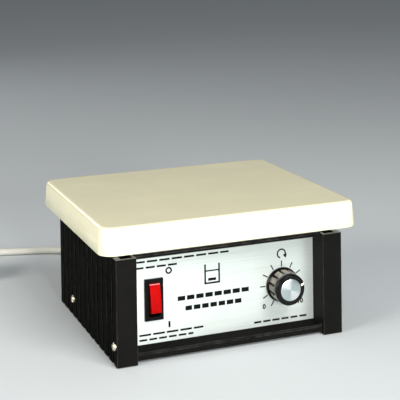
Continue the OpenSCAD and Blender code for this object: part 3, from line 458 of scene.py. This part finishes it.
def add_piece(name, mesh, material, body, smooth_angle=32.0):
    """Makes an object of a mesh, shades it smooth up to the given angle and lets it ride on a body."""
    mesh.materials.clear()
    mesh.materials.append(material)
    for polygon in mesh.polygons:
        polygon.use_smooth = True
    mesh.set_sharp_from_angle(angle=math.radians(smooth_angle))
    piece = bpy.data.objects.new(name, mesh)
    bpy.context.scene.collection.objects.link(piece)
    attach(piece, body)
    return piece


def mesh_from(bm, name):
    """A named mesh of a bmesh, its faces turned outwards; the bmesh is used up."""
    mesh = bpy.data.meshes.new(name)
    bmesh.ops.recalc_face_normals(bm, faces=bm.faces)
    bm.to_mesh(mesh)
    bm.free()
    return mesh


def stand_in(node):
    """Hides a CAD node, so that the piece made for it shows in its place."""
    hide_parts(node)


def finish_piece(node, slot, edge, segments):
    """Stands in for a CAD node with the same shape, its edges eased by a bevel of edge millimetres."""
    same_place, flat_angle, edge_angle = 0.001 * MM, math.radians(0.4), math.radians(34)
    name = node + "_finish"
    bm = bmesh.new()
    bm.from_mesh(frame["nodes"][node].data)
    bmesh.ops.remove_doubles(bm, verts=bm.verts, dist=same_place)
    bmesh.ops.dissolve_limit(bm, angle_limit=flat_angle, verts=bm.verts, edges=bm.edges)
    piece = add_piece(name, mesh_from(bm, name), FINISHES[slot], body_of(node))
    bevel = piece.modifiers.new("eased_edges", "BEVEL")
    bevel.width = edge * MM
    bevel.segments = segments
    bevel.limit_method = "ANGLE"
    bevel.angle_limit = edge_angle
    bevel.use_clamp_overlap = True
    bevel.harden_normals = True
    stand_in(node)


def loft(name, rings, looped=False):
    """A skin over rings of equally many points; its ends are capped, or joined when looped."""
    bm = bmesh.new()
    loops = [[bm.verts.new(p) for p in ring] for ring in rings]
    following = loops[1:] + loops[:1] if looped else loops[1:]
    for low, high in zip(loops, following):
        for i in range(len(low)):
            j = (i + 1) % len(low)
            bm.faces.new((low[i], low[j], high[j], high[i]))
    if not looped:
        bm.faces.new(loops[0])
        bm.faces.new(loops[-1])
    return mesh_from(bm, name)


def turns(count):
    """Equally spaced angles once round, in radians."""
    return [2 * math.pi * i / count for i in range(count)]


def lathe(name, x, z, outline):
    """A ring turned about a line along Y through x and z, from a closed outline of (radius, y) pairs."""
    rings = []
    for radius, y in outline:
        rings.append([(x + radius * math.cos(a), y, z + radius * math.sin(a)) for a in turns(64)])
    return loft(name, rings, looped=True)


# ---------------------------------------------------------------- pan

def rounded_rectangle(half_x, half_y, radius, z):
    """Points round a rectangle with rounded corners, anticlockwise from above."""
    quarter, steps = math.pi / 2, 14
    points = []
    for turn, (side_x, side_y) in enumerate(((1, 1), (-1, 1), (-1, -1), (1, -1))):
        x, y = side_x * (half_x - radius), side_y * (half_y - radius)
        for i in range(steps + 1):
            a = quarter * (turn + i / steps)
            points.append((x + radius * math.cos(a), y + radius * math.sin(a), z))
    return points


def pan_section(height, middle):
    """The pan's section as (inset from the rim's outside, height over the rim) pairs.

    It runs from the middle of the underside down inside the skirt, round the rim and up to the middle of
    the top.
    """
    edge, wall, lean = 3 * MM, 1.5 * MM, math.radians(4.5)
    rim, rim_inset, rim_flat, flat_gap = 0.35 * MM, 0.05 * MM, (0.6 * wall, 0.3 * wall), 1.5 * MM
    bend_z = height - edge
    bend_inset = (edge + bend_z * math.sin(lean)) / math.cos(lean)

    def bend(radius):
        """The rolled edge's arc, from the skirt up to the top."""
        angles = [lean + (math.pi / 2 - lean) * i / 8 for i in range(9)]
        return [(bend_inset - radius * math.cos(a), bend_z + radius * math.sin(a)) for a in angles]

    inside = [(middle, height - wall)] + bend(edge - wall)[::-1]
    rim_round = [(wall / math.cos(lean) + rim * math.tan(lean), rim)]
    rim_round += [(inset, 0.0) for inset in rim_flat] + [(rim_inset, rim)]
    outside = bend(edge) + [(bend_inset + flat_gap, height), (middle, height)]
    return inside + rim_round + outside


def make_pan():
    """The enamelled pan: a flat top, a rolled edge, a leaning skirt and a rim turned in a little."""
    low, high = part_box("top_pan")
    rim_corner, least_corner = 11 * MM, 0.4 * MM
    rings = []
    for inset, z in pan_section(high.z - low.z, min(high.x, high.y) - 2 * MM):
        corner = max(rim_corner - inset, least_corner)
        rings.append(rounded_rectangle(high.x - inset, high.y - inset, corner, low.z + z))
    piece = add_piece("pan_shell", loft("pan_shell", rings), FINISHES["enamel"], "case", 60)
    stand_in("top_pan")


make_pan()


# ---------------------------------------------------------------- case and controls

FINISHED_NODES = (
    # node, slot, edge in mm, segments
    ("left_cheek", "black_satin", 0.3, 2),
    ("right_cheek", "black_satin", 0.3, 2),
    ("front_panel", "panel_aluminium", 0.15, 2),
    ("rear_panel", "black_satin", 0.2, 2),
    ("front_bottom_rail", "black_satin", 0.15, 2),
    ("front_top_rail", "black_satin", 0.15, 2),
    ("rear_bottom_rail", "black_satin", 0.15, 2),
    ("rear_top_rail", "black_satin", 0.15, 2),
    ("base_plate", "zinc_steel", 0.15, 1),
    ("motor_deck", "black_satin", 0.15, 1),
    ("cheek_screws", "case_screw", 0.15, 2),
    ("rubber_feet", "rubber", 0.3, 2),
    ("switch_housing", "switch_black", 0.5, 3),
    ("switch_rocker", "rocker_red", 0.9, 4),
    ("knob_body", "knob_black", 0.3, 3),
    ("knob_cap", "spun_aluminium", 0.12, 2),
    ("knob_pointer", "pointer_white", 0.08, 1),
    ("plug_body", "lead_pvc", 1.0, 4),
    ("plug_pins", "brass", 0.25, 2),
)
for node, slot, edge, segments in FINISHED_NODES:
    finish_piece(node, slot, edge, segments)

# Pieces with no stand-in, nearly all inside the case, keep their CAD shape and get their finish here.
for entry in frame["record"]["subparts"]:
    cad = frame["nodes"][entry["node"]]
    cad.data.materials.clear()
    cad.data.materials.append(FINISHES[entry["material_slot"]])


# ---------------------------------------------------------------- mains lead

def lead_path():
    """Points along the lead's middle, in millimetres: from the case to the bench and round to the plug."""
    x, exit_z, lay_z = -30.0, 26.0, 3.4
    hidden_end, bend_start, tail = 60.0, 88.0, 6.0
    bend, run, hook = 60.0, 38.0, 28.0         # radius of the wide bends, a straight, radius of the last bend
    drop = math.acos(1 - (exit_z - lay_z) / (2 * bend))
    sweep = math.radians(74)
    drop_steps, sweep_steps = 8, 16
    lay_y = bend_start + 2 * bend * math.sin(drop)
    points = [Vector((x, hidden_end, exit_z)), Vector((x, bend_start - 0.5, exit_z))]
    for i in range(drop_steps + 1):
        a = drop * i / drop_steps
        points.append(Vector((x, bend_start + bend * math.sin(a), exit_z - bend * (1 - math.cos(a)))))
    for i in range(drop_steps - 1, -1, -1):
        a = drop * i / drop_steps
        points.append(Vector((x, lay_y - bend * math.sin(a), lay_z + bend * (1 - math.cos(a)))))
    for i in range(1, sweep_steps + 1):
        a = sweep * i / sweep_steps
        points.append(Vector((x - bend * (1 - math.cos(a)), lay_y + bend * math.sin(a), lay_z)))
    run_end = points[-1] + run * Vector((-math.sin(sweep), math.cos(sweep), 0))
    hook_centre = run_end - hook * Vector((math.cos(sweep), math.sin(sweep), 0))
    for i in range(sweep_steps + 1):
        a = sweep + (math.pi - sweep) * i / sweep_steps
        points.append(hook_centre + hook * Vector((math.cos(a), math.sin(a), 0)))
    points.append(points[-1] - Vector((0, tail, 0)))
    return points


def make_lead():
    """A smooth round cover along the lead's path."""
    radius = 3.2
    path = lead_path()
    rings = []
    for i, point in enumerate(path):
        ahead = path[min(i + 1, len(path) - 1)] - path[max(i - 1, 0)]
        side = ahead.cross(Vector((0, 0, 1))).normalized()
        up = side.cross(ahead).normalized()
        spokes = [side * math.cos(a) + up * math.sin(a) for a in turns(24)]
        rings.append([(point + radius * spoke) * MM for spoke in spokes])
    piece = add_piece("lead_cover", loft("lead_cover", rings), FINISHES["lead_pvc"], "case")
    stand_in("mains_lead")


def make_gland():
    """The lead's grommet: a flange on the rear panel and a sleeve with soft rings."""
    low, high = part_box("lead_gland")
    x, z = middle_of("lead_gland")
    bore, neck, flange, ring, waist = (r * MM for r in (3.25, 7.45, 9.5, 5.6, 4.7))
    neck_ease, flange_ease, flange_slope = 0.4 * MM, 0.3 * MM, 0.8 * MM
    flange_side, flange_top, sleeve_start = (rear_face + y * MM for y in (1.8, 2.8, 3.0))
    rings_start, ring_count, ring_pitch = rear_face + 3.3 * MM, 5, 2.1 * MM
    # places along one ring, from the start of the groove before it
    groove, rise, crest, fall = (y * MM for y in (0.5, 0.7, 1.2, 1.9))
    shoulder, root = ring - 0.15 * MM, ring + 1.2 * MM
    sleeve_end = high.y - 0.1 * MM
    outline = [(bore, low.y), (neck - neck_ease, low.y), (neck, low.y + neck_ease), (neck, rear_face)]
    outline += [(flange - flange_ease, rear_face), (flange, rear_face + flange_ease), (flange, flange_side)]
    outline += [(flange - flange_slope, flange_top), (root, sleeve_start)]
    for i in range(ring_count):
        y = rings_start + i * ring_pitch
        outline += [(waist, y), (waist, y + groove), (shoulder, y + rise)]
        outline += [(ring, y + crest), (shoulder, y + fall)]
    outline += [(waist, sleeve_end), (bore, sleeve_end)]
    sleeve = lathe("gland_sleeve", x, z, outline)
    piece = add_piece("gland_sleeve", sleeve, FINISHES["switch_black"], "case", 40)
    stand_in("lead_gland")


make_lead()
make_gland()


# ---------------------------------------------------------------- printed legend

PRINT = 0.06 * MM                  # how far the ink stands out from the panel


class Print:
    """Ink shapes laid on the front panel, in millimetres of X and Z."""

    def __init__(self):
        self.bm = bmesh.new()

    def outline(self, points):
        """One closed flat shape with the ink's thickness, sunk a little into the panel."""
        front = [self.bm.verts.new((x * MM, panel_front - PRINT, z * MM)) for x, z in points]
        back = [self.bm.verts.new((x * MM, panel_front + PRINT / 2, z * MM)) for x, z in points]
        self.bm.faces.new(front)
        self.bm.faces.new(back[::-1])
        for i in range(len(points)):
            j = (i + 1) % len(points)
            self.bm.faces.new((front[i], back[i], back[j], front[j]))

    def bar(self, a, b, width):
        """A straight stroke from a to b."""
        a, b = Vector(a), Vector(b)
        side = (b - a).normalized().orthogonal() * width / 2
        self.outline([a + side, b + side, b - side, a - side])

    def arc(self, centre, radius, start, end, width, steps):
        """A curved stroke, its angles in degrees anticlockwise from the right."""
        inner, outer = [], []
        for i in range(steps + 1):
            a = math.radians(start + (end - start) * i / steps)
            spoke = Vector((math.cos(a), math.sin(a)))
            inner.append(Vector(centre) + spoke * (radius - width / 2))
            outer.append(Vector(centre) + spoke * (radius + width / 2))
        for i in range(steps):
            self.outline([inner[i], inner[i + 1], outer[i + 1], outer[i]])

    def finish(self, name):
        """Adds the shapes to the scene as one piece."""
        add_piece(name, mesh_from(self.bm, name), FINISHES["ink"], "case")


def numeral_mesh(text, centre):
    """A numeral as a flat mesh on the panel, centred at a point in millimetres."""
    size, boldness = 5.0 * MM, 0.2 * MM
    curve = bpy.data.curves.new("numeral", "FONT")
    curve.body = text
    curve.size = size
    curve.extrude = PRINT / 2
    curve.offset = boldness
    curve.align_x = "CENTER"
    curve.align_y = "CENTER"
    holder = bpy.data.objects.new("numeral", curve)
    bpy.context.scene.collection.objects.link(holder)
    onto_panel = Matrix.Translation((centre.x * MM, panel_front - PRINT / 2, centre.y * MM))
    holder.matrix_world = onto_panel @ Matrix.Rotation(math.pi / 2, 4, "X")
    bpy.context.view_layer.update()
    mesh = bpy.data.meshes.new_from_object(holder.evaluated_get(bpy.context.evaluated_depsgraph_get()))
    mesh.transform(holder.matrix_world)
    bpy.data.objects.remove(holder)
    return mesh


dial = Vector((dial_x / MM, dial_z / MM))
switch = Vector((switch_x / MM, switch_z / MM))


def dial_point(angle, reach):
    """The point at an angle in degrees and a distance from the middle of the dial."""
    a = math.radians(angle)
    return dial + reach * Vector((math.cos(a), math.sin(a)))


def make_dial_legend():
    """Eleven ticks over 300 degrees, and a number beside the first and the last."""
    first_angle, step, tick_count = 240, 30, 11
    tick_from, tick_to, tick_width = 13.6, 18.0, 0.85
    legend = Print()
    for i in range(tick_count):
        angle = first_angle - step * i
        legend.bar(dial_point(angle, tick_from), dial_point(angle, tick_to), tick_width)
    legend.finish("dial_marks")
    for text, angle, reach in (("0", 226, 21.4), ("10", -44, 21.2)):
        mesh = numeral_mesh(text, dial_point(angle, reach))
        add_piece("dial_number_" + text, mesh, FINISHES["ink"], "case")


def draw_switch_signs(signs):
    """A bar for on by the switch's lower end and a ring for off by its upper end."""
    aside, bar_low, bar_high, bar_width = 12, -22.4, -17.8, 1.5
    ring_height, ring_radius, ring_width = 19.5, 2.0, 1.2
    signs.bar(switch + Vector((aside, bar_low)), switch + Vector((aside, bar_high)), bar_width)
    signs.arc(switch + Vector((aside, ring_height)), ring_radius, 0, 360, ring_width, 32)


def draw_turn_arrow(signs):
    """An open ring with an arrow head, over the dial."""
    centre = dial + Vector((0, 23.4))
    radius, start, end, width = 3.3, -30, 250, 1.1
    head = (Vector((4.6, -0.5)), Vector((1.2, -1.0)), Vector((3.6, -3.8)))
    signs.arc(centre, radius, start, end, width, 28)
    signs.outline([centre + corner for corner in head])


def draw_beaker(signs):
    """A beaker with its liquid's level and a stir bar on its bottom."""
    x, half, stroke = -9.5, 5.6, 1.3
    top, bottom, level, level_width = 60.1, 45.9, 55.1, 1.0
    bar_half, bar_z, bar_width = 3.2, 48.6, 2.0
    for side in (x - half, x + half):
        signs.bar((side, top), (side, bottom), stroke)
    signs.bar((x - half - stroke / 2, bottom), (x + half + stroke / 2, bottom), stroke)
    signs.bar((x - bar_half, bar_z), (x + bar_half, bar_z), bar_width)
    signs.bar((x - half, level), (x + half, level), level_width)


def make_signs():
    """Plain signs in place of words: off and on, a turning arrow and a beaker."""
    signs = Print()
    draw_switch_signs(signs)
    draw_turn_arrow(signs)
    draw_beaker(signs)
    signs.finish("panel_signs")


def make_rules():
    """Plain broken rules where a maker would print its title and notes."""
    rules = Print()
    rows = (
        # x from, x to, height of the row, thickness, length of each rule, gap
        (-37, 20, 37.4, 3.3, 5.9, 1.4),
        (-31, 14, 29.6, 3.3, 5.2, 1.4),
        (-70, 4, 67.8, 1.4, 8, 1.6),
        (-70, -33, 63.4, 1.4, 7, 1.6),
        (-67, -17, 14.2, 1.4, 9, 1.6),
        (-67, -25, 10.6, 1.4, 6, 1.6),
        (24, 69, 11.0, 1.4, 6, 1.6),
    )
    for start, end, z, thick, length, gap in rows:
        x = start
        while x < end - length / 2:
            rules.bar((x, z), (min(x + length, end), z), thick)
            x += length + gap
    rules.finish("panel_rules")


make_dial_legend()
make_signs()
make_rules()


# ---------------------------------------------------------------- studio

def make_floor():
    """A wide pale sheet just under the stirrer."""
    reach, drop, blotch = 9.0, 0.2 * MM, 0.6
    cool, pale = (0.55, 0.59, 0.61), (0.58, 0.62, 0.64)
    s = Surface("floor", cool, 0.85)
    s.set("Specular IOR Level", 0.2)
    s.set("Base Color", s.mix(s.noise(blotch), cool, pale))
    mesh = bpy.data.meshes.new("floor")
    corners = [(-reach, -reach, -drop), (reach, -reach, -drop), (reach, reach, -drop), (-reach, reach, -drop)]
    mesh.from_pydata(corners, [], [(0, 1, 2, 3)])
    mesh.materials.append(s.material)
    floor = bpy.data.objects.new("floor", mesh)
    bpy.context.scene.collection.objects.link(floor)


def add_area(name, place, target, size, power, color=(1, 1, 1)):
    """A square soft light that faces a target; its power is in watts."""
    lamp = bpy.data.lights.new(name, "AREA")
    lamp.shape = "SQUARE"
    lamp.size = size
    lamp.energy = power
    lamp.color = color
    holder = bpy.data.objects.new(name, lamp)
    holder.location = place
    holder.rotation_mode = "QUATERNION"
    holder.rotation_quaternion = (Vector(target) - Vector(place)).to_track_quat("-Z", "Y")
    bpy.context.scene.collection.objects.link(holder)


def make_lights():
    """Four soft lights that face the stirrer: from above, low in front, from the left and from behind."""
    middle = (0, 0, 0.06)
    add_area("key", (0.32, -1.12, 1.12), middle, 0.7, 16.5, (1.0, 0.985, 0.96))
    add_area("front", (-0.05, -1.6, 0.36), middle, 0.35, 27, (1.0, 0.99, 0.97))
    add_area("side", (-1.3, -0.35, 0.62), middle, 0.8, 18, (1.0, 0.955, 0.87))
    add_area("rim", (-0.5, 1.5, 0.66), middle, 0.4, 2.0)


def make_world():
    """A dim surround that grows paler from the horizon up."""
    strength = 0.25
    stops = ((0.0, (0.42, 0.46, 0.50, 1)), (0.8, (0.85, 0.87, 0.90, 1)))
    world = bpy.data.worlds.new("studio")
    world.use_nodes = True
    bpy.context.scene.world = world
    nodes, links = world.node_tree.nodes, world.node_tree.links
    background = nodes["Background"]
    coordinates = nodes.new("ShaderNodeTexCoord")
    split = nodes.new("ShaderNodeSeparateXYZ")
    ramp = nodes.new("ShaderNodeValToRGB")
    for element, (position, color) in zip(ramp.color_ramp.elements, stops):
        element.position = position
        element.color = color
    links.new(coordinates.outputs["Generated"], split.inputs["Vector"])
    links.new(split.outputs["Z"], ramp.inputs["Fac"])
    links.new(ramp.outputs["Color"], background.inputs["Color"])
    background.inputs["Strength"].default_value = strength


def make_camera():
    """A view from the front left, with the sensor shifted so that uprights stay upright.

    The shift belongs to this viewpoint alone: drivers drop it when the camera is placed elsewhere.
    """
    place = Vector((-0.31939, -0.83545, 0.31271))
    forward = Vector((0.36190, 0.93192, -0.02336)).normalized()
    roll = math.radians(-0.83)
    sensor, lens = 36.0, 101.7                 # millimetres
    same_place = 0.5 * MM
    camera_data = bpy.data.cameras.new("view")
    camera = bpy.data.objects.new("view", camera_data)
    bpy.context.scene.collection.objects.link(camera)
    bpy.context.scene.camera = camera
    camera.rotation_mode = "QUATERNION"
    level = forward.to_track_quat("-Z", "Y")
    camera.rotation_quaternion = level @ Matrix.Rotation(roll, 3, "Z").to_quaternion()
    camera.location = place
    camera_data.sensor_width = sensor
    camera_data.lens = lens
    camera_data.clip_start = 0.05
    camera_data.clip_end = 50.0
    for shift, amount in (("shift_x", 0.0120), ("shift_y", -0.626)):
        driver = camera_data.driver_add(shift).driver
        variable = driver.variables.new()
        variable.name = "across"
        variable.type = "TRANSFORMS"
        variable.targets[0].id = camera
        variable.targets[0].transform_type = "LOC_X"
        variable.targets[0].transform_space = "WORLD_SPACE"
        driver.expression = f"{amount} if abs(across - ({place.x:.5f})) < {same_place} else 0.0"


make_floor()
make_lights()
make_world()
make_camera()
bpy.context.scene.view_settings.view_transform = "Standard"
